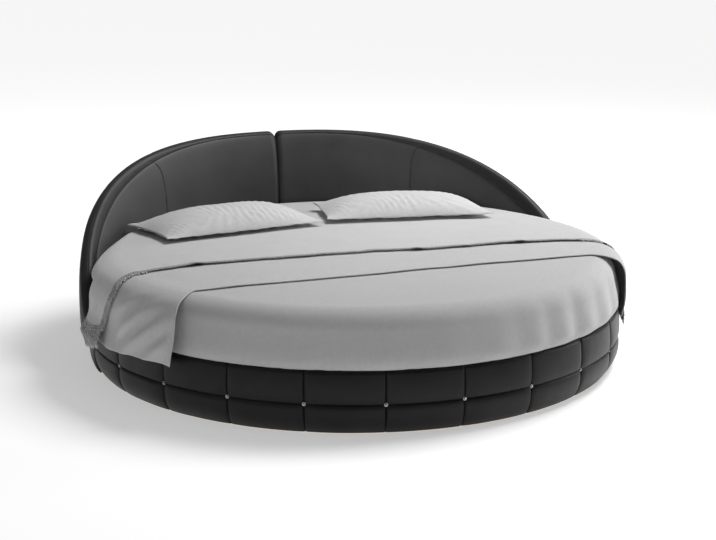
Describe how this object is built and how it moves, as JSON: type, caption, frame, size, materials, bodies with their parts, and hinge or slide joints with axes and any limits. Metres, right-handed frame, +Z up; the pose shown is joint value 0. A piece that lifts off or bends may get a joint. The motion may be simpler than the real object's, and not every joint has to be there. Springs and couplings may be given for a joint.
{
  "type": "round bed",
  "caption": "Round upholstered bed with a crescent headboard, buttoned padded rail, slatted base, mattress and draped bedding.",
  "frame": {"origin": "on the floor, at the centre of the round mattress and of the ring that holds it", "axes": "+Z up, +Y towards the headboard, +X to the right of someone who stands at the foot and faces the headboard"},
  "size_m": [2.4928, 2.4286, 0.846],
  "materials": {
    "leatherette": "satin charcoal leatherette",
    "crystal": "bright faceted button",
    "timber": "sawn softwood",
    "plywood": "bent plywood",
    "slat_wood": "planed pine",
    "zinc": "zinc-plated",
    "zinc_plate": "zinc-plated plate",
    "black_steel": "black powder coat",
    "black_plastic": "matte black",
    "ticking": "knitted ticking",
    "duvet_cotton": "plain light grey cotton",
    "blanket_cotton": "soft light grey weave",
    "sheet_cotton": "light grey cotton with a textured border",
    "pillow_cotton": "light grey cotton"
  },
  "bodies": {
    "frame": {"beam_bracket_foot": "zinc_plate", "beam_bracket_head": "zinc_plate", "bracket_screws": "zinc", "center_beam": "timber", "plinth_pad_left": "leatherette", "plinth_pad_right": "leatherette", "headboard_back_left": "leatherette", "headboard_back_right": "leatherette", "headboard_board_left": "plywood", "headboard_board_right": "plywood", "headboard_bolts": "zinc", "headboard_cushion_left": "leatherette", "headboard_cushion_right": "leatherette", "headboard_glides": "black_plastic", "headboard_plinth_left": "timber", "headboard_plinth_right": "timber", "headboard_washers": "zinc", "joint_bolts": "zinc", "joint_plate_front": "zinc_plate", "joint_plate_left": "zinc_plate", "joint_plate_rear": "zinc_plate", "joint_plate_right": "zinc_plate", "ledge_front_left": "slat_wood", "ledge_front_right": "slat_wood", "ledge_rear_left": "slat_wood", "ledge_rear_right": "slat_wood", "rail_buttons": "crystal", "rail_core_left": "timber", "rail_core_right": "timber", "rail_cover": "leatherette", "rail_glides": "black_plastic", "rail_skin_left": "plywood", "rail_skin_right": "plywood", "rear_rail_left": "timber", "rear_rail_right": "timber", "slat_01": "slat_wood", "slat_02": "slat_wood", "slat_03": "slat_wood", "slat_04": "slat_wood", "slat_05": "slat_wood", "slat_06": "slat_wood", "slat_07": "slat_wood", "slat_08": "slat_wood", "slat_09": "slat_wood", "slat_10": "slat_wood", "slat_11": "slat_wood", "slat_12": "slat_wood", "slat_screws": "zinc", "support_leg_foot": "black_steel", "support_leg_head": "black_steel", "support_leg_middle": "black_steel"},
    "bedding": {"mattress": "ticking", "duvet": "duvet_cotton", "blanket": "blanket_cotton", "top_sheet": "sheet_cotton"},
    "pillow_left": {"pillow_left": "pillow_cotton"},
    "pillow_right": {"pillow_right": "pillow_cotton"},
    "levelling_foot_foot": {"levelling_foot_foot": "black_plastic"},
    "levelling_foot_middle": {"levelling_foot_middle": "black_plastic"},
    "levelling_foot_head": {"levelling_foot_head": "black_plastic"}
  },
  "joints": [
    {"name": "bedding_lift", "type": "slide", "parent": "frame", "child": "bedding", "axis": [0, 0, 1], "range_m": [0, 0.45]},
    {"name": "pillow_left_lift", "type": "slide", "parent": "bedding", "child": "pillow_left", "axis": [0, 0, 1], "range_m": [0, 0.3]},
    {"name": "pillow_right_lift", "type": "slide", "parent": "bedding", "child": "pillow_right", "axis": [0, 0, 1], "range_m": [0, 0.3]},
    {"name": "levelling_foot_foot_slide", "type": "slide", "parent": "frame", "child": "levelling_foot_foot", "axis": [0, 0, 1], "range_m": [-0.012, 0.012]},
    {"name": "levelling_foot_middle_slide", "type": "slide", "parent": "frame", "child": "levelling_foot_middle", "axis": [0, 0, 1], "range_m": [-0.012, 0.012]},
    {"name": "levelling_foot_head_slide", "type": "slide", "parent": "frame", "child": "levelling_foot_head", "axis": [0, 0, 1], "range_m": [-0.012, 0.012]}
  ]
}
